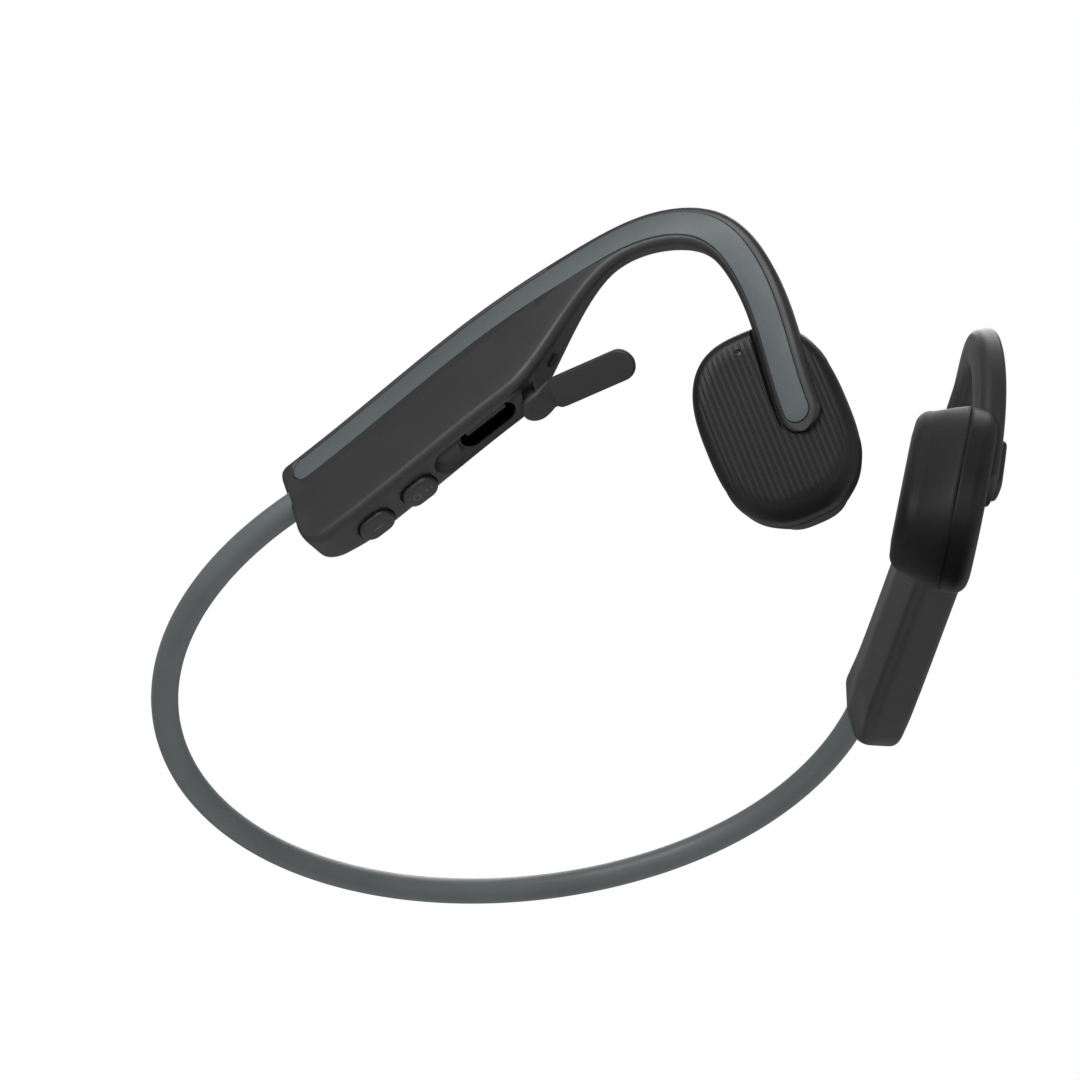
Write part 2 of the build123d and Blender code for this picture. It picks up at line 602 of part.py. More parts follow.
# volume buttons: a cap in a pocket, with a plunger through the wall to its switch
pockets = []
for at, name in ((PLUS_AT, "volume_up"), (MINUS_AT, "volume_down")):
    y = BUTTON_OUTWARD
    cap = underside_bar(at, y, -BUTTON_SUNK, BUTTON_PROUD, BUTTON_LENGTH, BUTTON_WIDTH)
    plunger = underside_bar(at, y, PLUNGER_END, -BUTTON_SUNK, PLUNGER_LENGTH, PLUNGER_WIDTH)
    wide, high = BUTTON_LENGTH + 2 * BUTTON_GAP, BUTTON_WIDTH + 2 * BUTTON_GAP
    pocket_low = -BUTTON_SUNK - BUTTON_TRAVEL - REST_GAP
    pockets.append(underside_bar(at, y, pocket_low, CLEAR, wide, high))
    wide, high = PLUNGER_LENGTH + 2 * BUTTON_GAP, PLUNGER_WIDTH + 2 * BUTTON_GAP
    pockets.append(underside_bar(at, y, PLUNGER_END, 0, wide, high))
    with BuildPart() as key_switch:
        with BuildSketch(UNDERSIDE.offset(PLUNGER_END - BUTTON_TRAVEL - REST_GAP)):
            with Locations((at, y)):
                RectangleRounded(KEY_SWITCH[0], KEY_SWITCH[1], SWITCH_CORNER)
        extrude(amount=-KEY_SWITCH[2])
    save(place(cap + plunger), f"{name}_button")
    save(place(key_switch.part), f"{name}_switch")

right_shell = (
    module_body.part
    - cover_zone.part
    - (module_cavity.part - boss)
    - band_socket
    - core_socket
    - hook_bore
    - recess
    - port_body
    - gasket_body
    - stem_bore
    - barb_room
)
for pocket in pockets:
    right_shell = right_shell - pocket
save_side(right_shell, "housing_shell", "right")

# port cover, drawn closed and then opened to its rest position
plate_low = floor + REST_GAP
plate = underside_bar(0, 0, plate_low, plate_low + COVER_PLATE, COVER_LENGTH, COVER_WIDTH)
neck_middle = plate_low + COVER_PLATE / 2
neck_cut = NECK_AT + NECK_RADIUS + NECK_GAP
with BuildPart() as flap_side:
    with BuildSketch(UNDERSIDE.offset(plate_low)):
        with Locations((NECK_AT - NECK_SETBACK - COVER_LENGTH / 2, 0)):
            Rectangle(COVER_LENGTH, 2 * COVER_WIDTH)
    extrude(amount=COVER_PLATE)
with BuildPart() as root_side:
    with BuildSketch(UNDERSIDE.offset(plate_low)):
        with Locations((neck_cut + COVER_LENGTH / 2, 0)):
            Rectangle(COVER_LENGTH, 2 * COVER_WIDTH)
    extrude(amount=COVER_PLATE)
neck_point = UNDERSIDE.from_local_coords((NECK_AT, 0, neck_middle))
with BuildPart() as neck:
    with Locations(neck_point):
        Sphere(NECK_RADIUS)
plug = underside_bar(0, 0, plate_low - PLUG_HEIGHT, plate_low, PLUG_LENGTH, PLUG_WIDTH)
plug_bore = underside_bar(
    0, 0, plate_low - PLUG_HEIGHT, plate_low, PLUG_LENGTH - 2 * PLUG_WALL, PLUG_WIDTH - 2 * PLUG_WALL
)
flap_plate = plate & flap_side.part
upright_edges = flap_plate.edges().filter_by(Axis(UNDERSIDE.origin, UNDERSIDE.z_dir))
neck_corners = upright_edges.sort_by(Axis(UNDERSIDE.origin, UNDERSIDE.x_dir))[-2:]
flap_plate = fillet(neck_corners, NECK_CORNER)
closed_flap = flap_plate + neck.part + (plug - plug_bore)
closed_tether = plate & root_side.part
stem_hole = underside_disc(STEM_FORWARD, plate_low, CLEAR, STEM_RADIUS + SLIP)
closed_tether = closed_tether - stem_hole
closed_stem = underside_disc(STEM_FORWARD, STEM_END, plate_low + COVER_PLATE, STEM_RADIUS)
closed_stem = closed_stem + underside_disc(STEM_FORWARD, STEM_END, STEM_END + BARB_HEIGHT, BARB_RADIUS)

open_direction = UNDERSIDE.from_local_coords(OPEN_AXIS) - UNDERSIDE.origin
neck_axis = Axis(neck_point, open_direction)
stem_axis = Axis(UNDERSIDE.from_local_coords((STEM_FORWARD, 0, 0)), UNDERSIDE.z_dir)
pulled_out = Location(UNDERSIDE.z_dir * COVER_LIFT)
open_flap = pulled_out * closed_flap.rotate(neck_axis, OPEN_TURN).rotate(stem_axis, -COVER_SWING)
open_tether = pulled_out * closed_tether.rotate(stem_axis, -COVER_SWING)
save(place(open_flap), "charging_port_cover")
save(place(open_tether), "port_cover_tether")
save(place(pulled_out * closed_stem), "port_cover_stem")

main_board = bay_box(BOARD_AT, BOARD_SIZE) + bay_box(BOARD_LOWER_AT, BOARD_LOWER_SIZE)
screws = Part()
for x, y in BOARD_SCREWS:
    with BuildPart() as screw:
        with BuildSketch(BAY.offset(BOARD_AT[2] - SCREW_HEAD_HEIGHT)):
            with Locations((x, y)):
                Circle(SCREW_HEAD_RADIUS)
        extrude(amount=SCREW_HEAD_HEIGHT)
        with BuildSketch(BAY.offset(BOARD_AT[2])):
            with Locations((x, y)):
                Circle(SCREW_RADIUS)
        extrude(amount=SCREW_LENGTH - SCREW_HEAD_HEIGHT)
    screws = screws + screw.part
main_board = main_board - screws
save_side(housing_cover - screws, "housing_cover", "right")
save(place(main_board), "main_board")
save(place(screws), "board_screws")
save(place(bay_box(SHIELD_AT, SHIELD_SIZE)), "radio_shield")
save(place(bay_box(MODULE_MIC_AT, MODULE_MIC_SIZE)), "module_microphone")
save(place(bay_box(STATUS_LED_AT, STATUS_LED_SIZE)), "status_led")
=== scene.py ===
"""Looks for the bone conduction headphones: soft-touch skins, ribbed pods, trim, port and controls."""
import json
from math import ceil, cos, exp, pi, radians, sin, sqrt, tan

import bpy
import numpy as np
from mathutils import Matrix, Vector


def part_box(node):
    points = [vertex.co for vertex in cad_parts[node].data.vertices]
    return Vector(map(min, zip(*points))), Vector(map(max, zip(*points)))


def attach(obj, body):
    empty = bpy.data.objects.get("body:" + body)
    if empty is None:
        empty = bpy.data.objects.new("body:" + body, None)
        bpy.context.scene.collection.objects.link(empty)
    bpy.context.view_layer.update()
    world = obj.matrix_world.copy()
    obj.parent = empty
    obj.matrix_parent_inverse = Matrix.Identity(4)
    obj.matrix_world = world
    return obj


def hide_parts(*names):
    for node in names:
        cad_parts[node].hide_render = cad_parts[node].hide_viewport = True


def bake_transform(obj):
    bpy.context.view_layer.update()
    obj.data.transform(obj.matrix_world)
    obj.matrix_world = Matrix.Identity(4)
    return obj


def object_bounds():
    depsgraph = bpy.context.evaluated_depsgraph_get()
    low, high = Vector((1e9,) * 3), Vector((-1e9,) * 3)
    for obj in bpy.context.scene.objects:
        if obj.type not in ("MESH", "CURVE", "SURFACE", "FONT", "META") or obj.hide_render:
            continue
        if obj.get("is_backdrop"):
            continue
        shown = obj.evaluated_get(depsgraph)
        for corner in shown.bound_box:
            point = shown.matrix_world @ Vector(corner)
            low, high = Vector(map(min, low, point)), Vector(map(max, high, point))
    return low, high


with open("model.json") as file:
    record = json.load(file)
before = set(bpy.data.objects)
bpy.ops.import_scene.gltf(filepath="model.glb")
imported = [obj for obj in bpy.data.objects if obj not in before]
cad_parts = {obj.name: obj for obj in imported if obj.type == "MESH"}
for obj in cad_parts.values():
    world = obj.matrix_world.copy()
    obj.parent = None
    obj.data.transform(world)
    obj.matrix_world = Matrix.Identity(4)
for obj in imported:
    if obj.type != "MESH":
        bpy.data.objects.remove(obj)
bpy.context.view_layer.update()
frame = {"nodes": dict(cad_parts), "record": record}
MM = 0.001

# ------------------------------------------------------------ frames, in millimetres
TOE = radians(20.6)
SLOPE = radians(8.4)
YAW = radians(11.5)
LEAN = radians(24.0)
RIGHT_SIDE = Matrix((
    (sin(TOE), 0, -cos(TOE), -54.0),
    (-cos(TOE), 0, -sin(TOE), 0),
    (0, 1, 0, 0),
    (0, 0, 0, 1),
))


def frame_matrix(origin, x_axis, z_axis):
    """A frame inside the side frame, from its origin, x axis and z axis."""
    x_axis, z_axis = Vector(x_axis).normalized(), Vector(z_axis).normalized()
    columns = Matrix((x_axis, z_axis.cross(x_axis), z_axis)).transposed().to_4x4()
    return Matrix.Translation(origin) @ columns


UNDERSIDE = frame_matrix((31.9, -6.6, -1.6), (cos(SLOPE), sin(SLOPE), 0), (sin(SLOPE), -cos(SLOPE), 0))
POD = frame_matrix(
    (65.7, -20.8, -15.5),
    (cos(YAW), 0, -sin(YAW)),
    (sin(YAW) * cos(LEAN), -sin(LEAN), cos(YAW) * cos(LEAN)),
)


def to_row(point, side="right"):
    """Side frame millimetres to row frame metres, mirrored for the left side."""
    place = (RIGHT_SIDE @ Vector(point)) * MM
    return Vector((-place.x, place.y, place.z)) if side == "left" else place


def in_frame(matrix):
    """A mapping from a local frame to the side frame."""
    return lambda x, y, z: matrix @ Vector((x, y, z))


def smooth(low, high, x):
    w = min(1, max(0, (x - low) / (high - low)))
    return w * w * (3 - 2 * w)


# ------------------------------------------------------------ materials
def shader(name, color, roughness, bump=0.05, grain=2500, vary=0.12, metallic=0.0, sheen=0.0,
           coat=0.0, smudge=0.1, shine=0.5):
    """A surface with fine grain, broad colour variation and handling smudges in its gloss."""
    mat = bpy.data.materials.new(name)
    mat.use_nodes = True
    tree = mat.node_tree
    surface = tree.nodes["Principled BSDF"]
    coords = tree.nodes.new("ShaderNodeTexCoord")

    def noise(scale, detail):
        node = tree.nodes.new("ShaderNodeTexNoise")
        node.inputs["Scale"].default_value = scale
        node.inputs["Detail"].default_value = detail
        tree.links.new(coords.outputs["Object"], node.inputs["Vector"])
        return node.outputs["Fac"]

    def spread(source, low, high):
        node = tree.nodes.new("ShaderNodeMapRange")
        node.inputs["From Min"].default_value = 0.3
        node.inputs["From Max"].default_value = 0.7
        node.inputs["To Min"].default_value = low
        node.inputs["To Max"].default_value = high
        tree.links.new(source, node.inputs["Value"])
        return node.outputs["Result"]

    broad = noise(70, 4)
    fine = noise(grain, 3)
    shade = tree.nodes.new("ShaderNodeMix")
    shade.data_type = "RGBA"
    shade.inputs[6].default_value = [c * (1 - vary) for c in color] + [1]
    shade.inputs[7].default_value = [min(1, c * (1 + vary)) for c in color] + [1]
    tree.links.new(spread(broad, 0, 1), shade.inputs[0])
    tree.links.new(shade.outputs[2], surface.inputs["Base Color"])
    gloss = spread(noise(180, 6), roughness * (1 - smudge), roughness * (1 + smudge))
    tree.links.new(gloss, surface.inputs["Roughness"])
    relief = tree.nodes.new("ShaderNodeBump")
    relief.inputs["Strength"].default_value = bump
    relief.inputs["Distance"].default_value = 0.00004
    tree.links.new(fine, relief.inputs["Height"])
    tree.links.new(relief.outputs["Normal"], surface.inputs["Normal"])
    surface.inputs["Metallic"].default_value = metallic
    surface.inputs["Sheen Weight"].default_value = sheen
    surface.inputs["Coat Weight"].default_value = coat
    surface.inputs["Specular IOR Level"].default_value = shine
    return mat


SKIN = shader("soft_touch_skin", (0.0095, 0.0095, 0.0098), 0.46, bump=0.25, sheen=0.03)
POD_SHELL = shader("pod_plastic", (0.0075, 0.0075, 0.0078), 0.42, bump=0.12, grain=3500, shine=0.24)
PAD = shader("pad_silicone", (0.0075, 0.0075, 0.008), 0.58, bump=0.08, grain=3000, sheen=0.02,
             shine=0.3)
BAND = shader("band_silicone", (0.085, 0.097, 0.099), 0.5, bump=0.1, sheen=0.05)
TRIM = shader("trim_satin", (0.055, 0.069, 0.071), 0.5, bump=0.14, grain=4000)
RUBBER = shader("cover_rubber", (0.011, 0.011, 0.0115), 0.55, bump=0.3, grain=2200)
BUTTON = shader("button_rubber", (0.011, 0.011, 0.0115), 0.42, bump=0.15, grain=3200)
MARK = shader("button_mark", (0.05, 0.05, 0.052), 0.5, bump=0.05)
GAP = shader("shadow_gap", (0.004, 0.004, 0.004), 0.7, bump=0.1)
PORT_STEEL = shader("dark_plated_steel", (0.045, 0.045, 0.047), 0.3, bump=0.05, metallic=1.0)
STEEL = shader("stamped_steel", (0.5, 0.5, 0.51), 0.28, bump=0.06, metallic=1.0, smudge=0.25)
COPPER = shader("enamelled_copper", (0.55, 0.2, 0.08), 0.3, bump=0.2, metallic=1.0)
DARK_PLASTIC = shader("moulded_plastic", (0.012, 0.012, 0.013), 0.4, bump=0.1)
BOARD = shader("solder_mask", (0.01, 0.06, 0.025), 0.35, bump=0.1, coat=0.3)
FOIL = shader("battery_foil", (0.45, 0.46, 0.5), 0.35, bump=0.3, grain=900, metallic=0.8)
FOAM = shader("foam", (0.03, 0.03, 0.03), 0.95, bump=0.8, grain=1600)
LENS = shader("light_lens", (0.5, 0.5, 0.48), 0.2, bump=0.02)

CAD_FINISH = {
    "steel": STEEL, "spring_wire": STEEL, "screw_steel": STEEL, "switch": STEEL, "magnet": STEEL,
    "coil_copper": COPPER, "board": BOARD, "battery_wrap": FOIL, "foam": FOAM, "led": LENS,
    "gasket_rubber": GAP, "cable": DARK_PLASTIC, "internal_plastic": DARK_PLASTIC,
    "stem_plastic": RUBBER,
}
for entry in frame["record"]["subparts"]:
    finish = CAD_FINISH.get(entry["material_slot"])
    if finish:
        node = frame["nodes"][entry["node"]]
        node.data.materials.clear()
        node.data.materials.append(finish)
frame["nodes"]["usb_c_receptacle"].data.materials[0] = PORT_STEEL


# ------------------------------------------------------------ mesh helpers
def mesh_piece(name, points, faces, mat, side="right"):
    """A smooth-shaded mesh object, from side frame points."""
    data = bpy.data.meshes.new(name)
    data.from_pydata([to_row(p, side) for p in points], [], faces)
    if side == "left":
        data.flip_normals()
    data.materials.append(mat)
    data.update()
    piece = bpy.data.objects.new(name, data)
    bpy.context.scene.collection.objects.link(piece)
    return piece


def soften(piece, angle=35):
    """Smooth shading that keeps edges sharper than the angle."""
    piece.data.shade_smooth()
    bpy.context.view_layer.objects.active = piece
    piece.select_set(True)
    bpy.ops.object.shade_auto_smooth(angle=radians(angle))
    piece.select_set(False)
    return piece


def dress(piece, body, slot, *nodes):
    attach(piece, body)
    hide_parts(*nodes)


def rings_mesh(rings, ladder=False):
    """Closed skin through rings of points; the ends are fans, or ladders for mirrored rings."""
    count = len(rings[0])
    points = [p for ring in rings for p in ring]
    faces = []
    for r in range(len(rings) - 1):
        for i in range(count):
            j = (i + 1) % count
            faces.append((r * count + i, r * count + j, (r + 1) * count + j, (r + 1) * count + i))
    for start, flip in ((0, True), ((len(rings) - 1) * count, False)):
        if ladder:
            caps = [
                (start + i, start + i + 1, start + count - 2 - i, start + count - 1 - i)
                for i in range(count // 2 - 1)
            ]
        else:
            middle = len(points)
            points.append(sum((Vector(p) for p in points[start:start + count]), Vector()) / count)
            caps = [(start + i, start + (i + 1) % count, middle) for i in range(count)]
        faces += [tuple(reversed(cap)) for cap in caps] if flip else caps
    return points, faces


def bar_mesh(length, width, levels, mapping, centre=(0, 0), step=1.0):
    """A round-ended bar; levels are (inset, height) pairs from the bottom to the top."""
    sides = max(2, ceil((length - width) / step))
    rings = []
    for inset, height in levels:
        half = (length - width) / 2
        radius = width / 2 - inset
        outline = [(half - 2 * half * k / sides, radius) for k in range(sides)]
        outline += [(-half - radius * sin(a), radius * cos(a)) for a in half_turn()]
        other = [(-x, -y) for x, y in outline]
        outline = other[-1:] + outline + other[:-1]
        shift = len(half_turn()) // 2
        outline = outline[-shift:] + outline[:-shift]
        rings.append([mapping(centre[0] + x, centre[1] + y, height) for x, y in outline])
    return rings_mesh(rings, ladder=True)


def half_turn(steps=16):
    """Angles from 0 to 180 degrees."""
    return [pi * k / steps for k in range(steps + 1)]


def rounded_levels(low, high, top, bottom=0.0, steps=5):
    """Bar levels with a rounded top edge and, optionally, a rounded bottom edge."""
    arcs = [pi / 2 * k / steps for k in range(steps + 1)]
    under = [(0, low)]
    if bottom:
        under = [(bottom * (1 - sin(a)), low + bottom * (1 - cos(a))) for a in arcs]
    return under + [(top * (1 - cos(a)), high - top * (1 - sin(a))) for a in arcs]


def carve(piece, *cutters):
    """Cut holes into a piece and drop the cutters."""
    for cutter in cutters:
        change = piece.modifiers.new("cut", "BOOLEAN")
        change.operation = "DIFFERENCE"
        change.solver = "EXACT"
        change.object = cutter
        bpy.context.view_layer.objects.active = piece
        bpy.ops.object.modifier_apply(modifier=change.name)
        bpy.data.objects.remove(cutter)


# ------------------------------------------------------------ the arm: module, hook and strip
ARM_POINTS = np.array([
    (1.0, 3.75, 0.4), (20.0, 6.45, 0.7), (38.0, 9.1, 0.85), (52.0, 10.0, 0.4), (63.0, 9.6, -0.9),
    (69.6, 5.9, -2.7), (72.2, -1.5, -5.0), (71.8, -11.0, -7.9), (69.7, -25.9, -13.4),
])
ARM_LENGTH = 104.8
HOUSING_END = 0.45
SEAM = 0.02                   # rounding where the module's skin meets the hook's
TIP_START, TIP_REACH = 0.97, 2.9
STRIP = (0.036, 0.968)
STRIP_WIDTH = 3.6
STRIP_GAP = 0.08
GROOVE_DEPTH = 0.7
MULTI_MIDDLE = 0.9365
MULTI_LENGTH = 10.2


class Arm:
    """Cubic spline through the arm's points, by chord length from 0 to 1."""

    def __init__(self, points):
        steps = np.linalg.norm(np.diff(points, axis=0), axis=1)
        self.knots = np.concatenate(([0], np.cumsum(steps))) / steps.sum()
        gap = np.diff(self.knots)
        rise = np.diff(points, axis=0) / gap[:, None]
        count = len(points)
        system = np.zeros((count, count))
        target = np.zeros((count, 3))
        for i in range(1, count - 1):
            system[i, i - 1:i + 2] = gap[i - 1], 2 * (gap[i - 1] + gap[i]), gap[i]
            target[i] = 6 * (rise[i] - rise[i - 1])
        system[0, :3] = gap[1], -gap[0] - gap[1], gap[0]
        system[-1, -3:] = gap[-1], -gap[-1] - gap[-2], gap[-2]
        self.bend = np.linalg.solve(system, target)
        self.points = points

    def at(self, t):
        """Position and direction at t."""
        i = int(np.clip(np.searchsorted(self.knots, t) - 1, 0, len(self.knots) - 2))
        gap = self.knots[i + 1] - self.knots[i]
        a, b = (self.knots[i + 1] - t) / gap, (t - self.knots[i]) / gap
        p, q, m, n = self.points[i], self.points[i + 1], self.bend[i], self.bend[i + 1]
        place = a * p + b * q + ((a ** 3 - a) * m + (b ** 3 - b) * n) * gap ** 2 / 6
        slope = (q - p) / gap + ((3 * b * b - 1) * n - (3 * a * a - 1) * m) * gap / 6
        return Vector(place), Vector(slope).normalized()


arm = Arm(ARM_POINTS)


def across(t, u, v):
    """A point in the arm's cross section: u away from the hook's inside, v outward."""
    place, along = arm.at(t)
    outward = (Vector((0, 0, 1)) - along * along.z).normalized()
    return place + outward.cross(along) * u + outward * v


def on_arm(middle):
    """Mapping for a bar that follows the arm: length along it, width across, height outward."""
    return lambda s, u, v: across(middle + s / ARM_LENGTH, u, v)


MODULE_SECTION = [(3.35, -0.12), (-14.7, 1.5), (-14.5, -5.8), (-5.0, -4.5), (1.6, -1.9)]
REAR_SECTION = [(3.2, -0.15), (-14.5, 1.4), (-14.3, -4.7), (-5.6, -4.2), (1.4, -2.3)]
HOOK_SECTION = [(3.3, -0.12), (-2.95, -0.12), (-2.7, -3.6), (0.0, -3.8), (2.7, -3.6)]
MODULE_ROUND = [0.4, 1.2, 1.7, 9.0, 0.8]
HOOK_ROUND = [1.0, 1.0, 1.6, 2.5, 1.6]


def section_points(corners, rounds, inset):
    """A rounded five-cornered outline, shrunk by an inset, with the same points on every ring."""
    corners = [Vector(c) for c in corners]
    middle = sum(corners, Vector((0, 0))) / len(corners)
    outline = []
    for i, corner in enumerate(corners):
        before = (corners[i - 1] - corner).normalized()
        after = (corners[(i + 1) % len(corners)] - corner).normalized()
        half = before.angle(after) / 2
        centre = corner + (before + after).normalized() * rounds[i] / sin(half)
        start = (corner + before * rounds[i] / tan(half) - centre).normalized()
        end = (corner + after * rounds[i] / tan(half) - centre).normalized()
        turn = start.angle(end)
        for k in range(9):
            w = k / 8
            spoke = start * sin((1 - w) * turn) + end * sin(w * turn)
            outline.append(centre + spoke / sin(turn) * rounds[i])
    filled = []
    for i, point in enumerate(outline):
        following = outline[(i + 1) % len(outline)]
        filled.append(point)
        if i % 9 == 8:
            filled += [point.lerp(following, k / 8) for k in range(1, 8)]
    return [p + (middle - p).normalized() * min(inset, (middle - p).length * 0.98) for p in filled]


def corner_cut(distance, radius):
    """How far a corner of this radius draws an edge in, at a distance from the end."""
    short = max(0.0, radius - distance)
    return radius - sqrt(radius ** 2 - short ** 2)


def arm_ring(t, inset=0.0, narrow=1.0):
    """The arm's outline at t: module section, then a thin neck, then the hook's section."""
    outer, inner, ridge = smooth(0.335, 0.56, t), smooth(0.315, 0.535, t), smooth(0.48, 0.74, t)
    rear = 1 - smooth(0.0, 0.07, t)
    thin = exp(-((t - 0.56) / 0.07) ** 2)
    weights = [outer, outer, inner, inner, ridge]
    trims = [(0, 0), (0, 0), (0, 0.55 * thin), (0, 0.7 * thin), (0, 0)]
    top_cut, low_cut = corner_cut(t * ARM_LENGTH, 1.6), corner_cut(t * ARM_LENGTH, 3.2)
    cuts = [-top_cut, low_cut, low_cut, 0, -top_cut]
    corners, rounds = [], []
    for i, w in enumerate(weights):
        module = [m + (r - m) * rear for m, r in zip(MODULE_SECTION[i], REAR_SECTION[i])]
        corner = [m + (h - m) * w + k for m, h, k in zip(module, HOOK_SECTION[i], trims[i])]
        corners.append((corner[0] + cuts[i], corner[1]))
        turn_in = ridge if i == 0 else w
        rounds.append(MODULE_ROUND[i] + (HOOK_ROUND[i] - MODULE_ROUND[i]) * turn_in)
    return [across(t, u * narrow, v) for u, v in section_points(corners, rounds, inset)]


def edge_rings(t, radius, inward):
    """Rings that round an end of the arm; inward is +1 at its start and -1 at its end."""
    steps = 6
    rings = []
    for k in range(steps):
        a = pi / 2 * k / steps
        rings.append(arm_ring(t + inward * radius * (1 - sin(a)) / ARM_LENGTH, radius * (1 - cos(a))))
    return rings[::-1] if inward > 0 else rings


def strip_cutter(side, start, end):
    """Groove for the trim strip."""
    width = STRIP_WIDTH + 2 * STRIP_GAP
    length = (end - start) * ARM_LENGTH + width
    levels = [(0, -GROOVE_DEPTH), (0, 1.2)]
    points, faces = bar_mesh(length, width, levels, on_arm((start + end) / 2))
    return mesh_piece("cutter", points, faces, GAP, side)


def underside_cutter(x, y, low, high, length, width):
    points, faces = bar_mesh(length, width, [(0, low), (0, high)], in_frame(UNDERSIDE), (x, y))
    return mesh_piece("cutter", points, faces, GAP)


# underside layout: x forward of the port, y outward, z down and out
FLOOR = -1.2
RECESS = (1.5, 0, FLOOR, 3, 21.6, 4.5)
PORT_HOLE = (0, 0, -7.0, 0, 9.36, 3.68)
STEM_HOLE = (7.05, 0, -7.0, 0, 1.72, 1.70)
BUTTONS = {"volume_up": -12.9, "volume_down": -20.4}
BUTTON_Y = -0.7

for side in ("right", "left"):
    # the rings are closer together up to t = 0.04, where the rear corners are rounded
    steps = [0.0065 + 0.0335 * k / 14 for k in range(14)]
    steps += [0.04 + (HOUSING_END - 0.044) * k / 100 for k in range(101)]
    rings = edge_rings(0.0, 0.6, +1) + [arm_ring(t) for t in steps]
    rings += edge_rings(HOUSING_END, SEAM, -1)
    module = mesh_piece(f"module_skin_{side}", *rings_mesh(rings), SKIN, side)
    carve(module, strip_cutter(side, STRIP[0], 0.6))
    if side == "right":
        carve(module, underside_cutter(*RECESS))
        carve(module, underside_cutter(*PORT_HOLE), underside_cutter(*STEM_HOLE))
        for at in BUTTONS.values():
            carve(module, underside_cutter(at, BUTTON_Y, -0.8, 2, 5.62, 3.92))
    soften(module)
    dress(module, "headset", "soft_skin", f"{side}_housing_shell", f"{side}_housing_cover")

    tip = TIP_REACH / ARM_LENGTH
    rings = edge_rings(HOUSING_END, SEAM, +1)
    rings += [arm_ring(HOUSING_END + 0.004 + (0.966 - HOUSING_END) * k / 150) for k in range(151)]
    for k in range(1, 13):
        a = pi / 2 * k / 12
        rings.append(arm_ring(TIP_START + tip * sin(a) * 0.99, narrow=max(0.02, cos(a))))
    hook = mesh_piece(f"ear_hook_{side}", *rings_mesh(rings), SKIN, side)
    carve(hook, strip_cutter(side, 0.3, STRIP[1]))
    soften(hook)
    dress(hook, "headset", "soft_skin", f"{side}_ear_hook")

    # trim strip, with a softened edge; the left one stops short of the button
    end = STRIP[1] if side == "right" else MULTI_MIDDLE - (MULTI_LENGTH / 2 + 0.3) / ARM_LENGTH
    length = (end - STRIP[0]) * ARM_LENGTH + (STRIP_WIDTH if side == "right" else STRIP_WIDTH / 2)
    middle = STRIP[0] + (length / 2 - STRIP_WIDTH / 2) / ARM_LENGTH
    points, faces = bar_mesh(length, STRIP_WIDTH, rounded_levels(-0.68, 0.1, 0.15), on_arm(middle))
    strip = soften(mesh_piece(f"trim_{side}", points, faces, TRIM, side), 50)
    dress(strip, "headset", "trim", f"{side}_trim_strip")

# ------------------------------------------------------------ neckband
BAND_RADIUS = 1.95
back_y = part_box("neckband_sleeve")[1].y / MM - BAND_RADIUS
back_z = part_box("neckband_sleeve")[1].z / MM - BAND_RADIUS
flare = radians(18)
band_end = RIGHT_SIDE @ Vector((0.4, 0, -0.7))
control = [
    band_end,
    band_end + Vector((-34.7 * sin(flare), 34.7 * cos(flare), -0.8)),
    Vector((-34.7, back_y, back_z)),
    Vector((0, back_y, back_z)),
]


def band_centre(t):
    """Centre of the neckband and its direction: 0 at the right end, 1 at the back, 2 at the left."""
    w = t if t <= 1 else 2 - t
    a = [(1 - w) ** 3, 3 * w * (1 - w) ** 2, 3 * w * w * (1 - w), w ** 3]
    d = [-3 * (1 - w) ** 2, 3 * (1 - w) * (1 - 3 * w), 3 * w * (2 - 3 * w), 3 * w * w]
    place = sum((c * k for c, k in zip(control, a)), Vector())
    along = sum((c * k for c, k in zip(control, d)), Vector()).normalized()
    if t > 1:
        place.x, along.y, along.z = -place.x, -along.y, -along.z
    return place, along


def band_ring(t, radius, reach=0.0):
    place, along = band_centre(t)
    place = place + along * reach
    across_band = along.cross(Vector((0, 0, 1))).normalized()
    upward = across_band.cross(along)
    to_side = RIGHT_SIDE.inverted()
    return [
        to_side @ (place + across_band * radius * cos(a) + upward * radius * sin(a))
        for a in (2 * pi * k / 40 for k in range(40))
    ]


rings = [band_ring(0, BAND_RADIUS, -1.5)]
rings += [band_ring(2 * k / 300, BAND_RADIUS) for k in range(301)]
rings += [band_ring(2, BAND_RADIUS, 1.5)]
band = soften(mesh_piece("neckband_skin", *rings_mesh(rings), BAND))
dress(band, "headset", "band_skin", "neckband_sleeve")


# ------------------------------------------------------------ pods
POD_HALF_WIDTH, POD_HALF_LENGTH, POD_POWER = 9.9, 13.6, 2.65
POD_TOP, POD_RIM = 4.0, 2.3
RIB_PITCH, RIB_DEPTH, RIBBED_HALF = 0.855, 0.1, 8.55


def pod_edge(x, half_width, half_length, power):
    return half_length * max(0, 1 - abs(x / half_width) ** power) ** (1 / power)


def pod_height(x, y):
    """Height of the ribbed face: a rounded rim round shallow ribs that fade at their ends."""
    ratio = (abs(x / POD_HALF_WIDTH) ** POD_POWER + abs(y / POD_HALF_LENGTH) ** POD_POWER)
    ratio = min(1, ratio ** (1 / POD_POWER))
    margin = (1 - ratio) * POD_HALF_WIDTH
    drop = POD_RIM - sqrt(max(0, POD_RIM ** 2 - (POD_RIM - min(margin, POD_RIM)) ** 2))
    groove = (0.5 - 0.5 * cos(2 * pi * x / RIB_PITCH)) ** 5
    fade = 1 - smooth(0.83, 0.92, ratio)
    hollow = 0.12 * fade
    return POD_TOP - drop - hollow - RIB_DEPTH * groove * fade


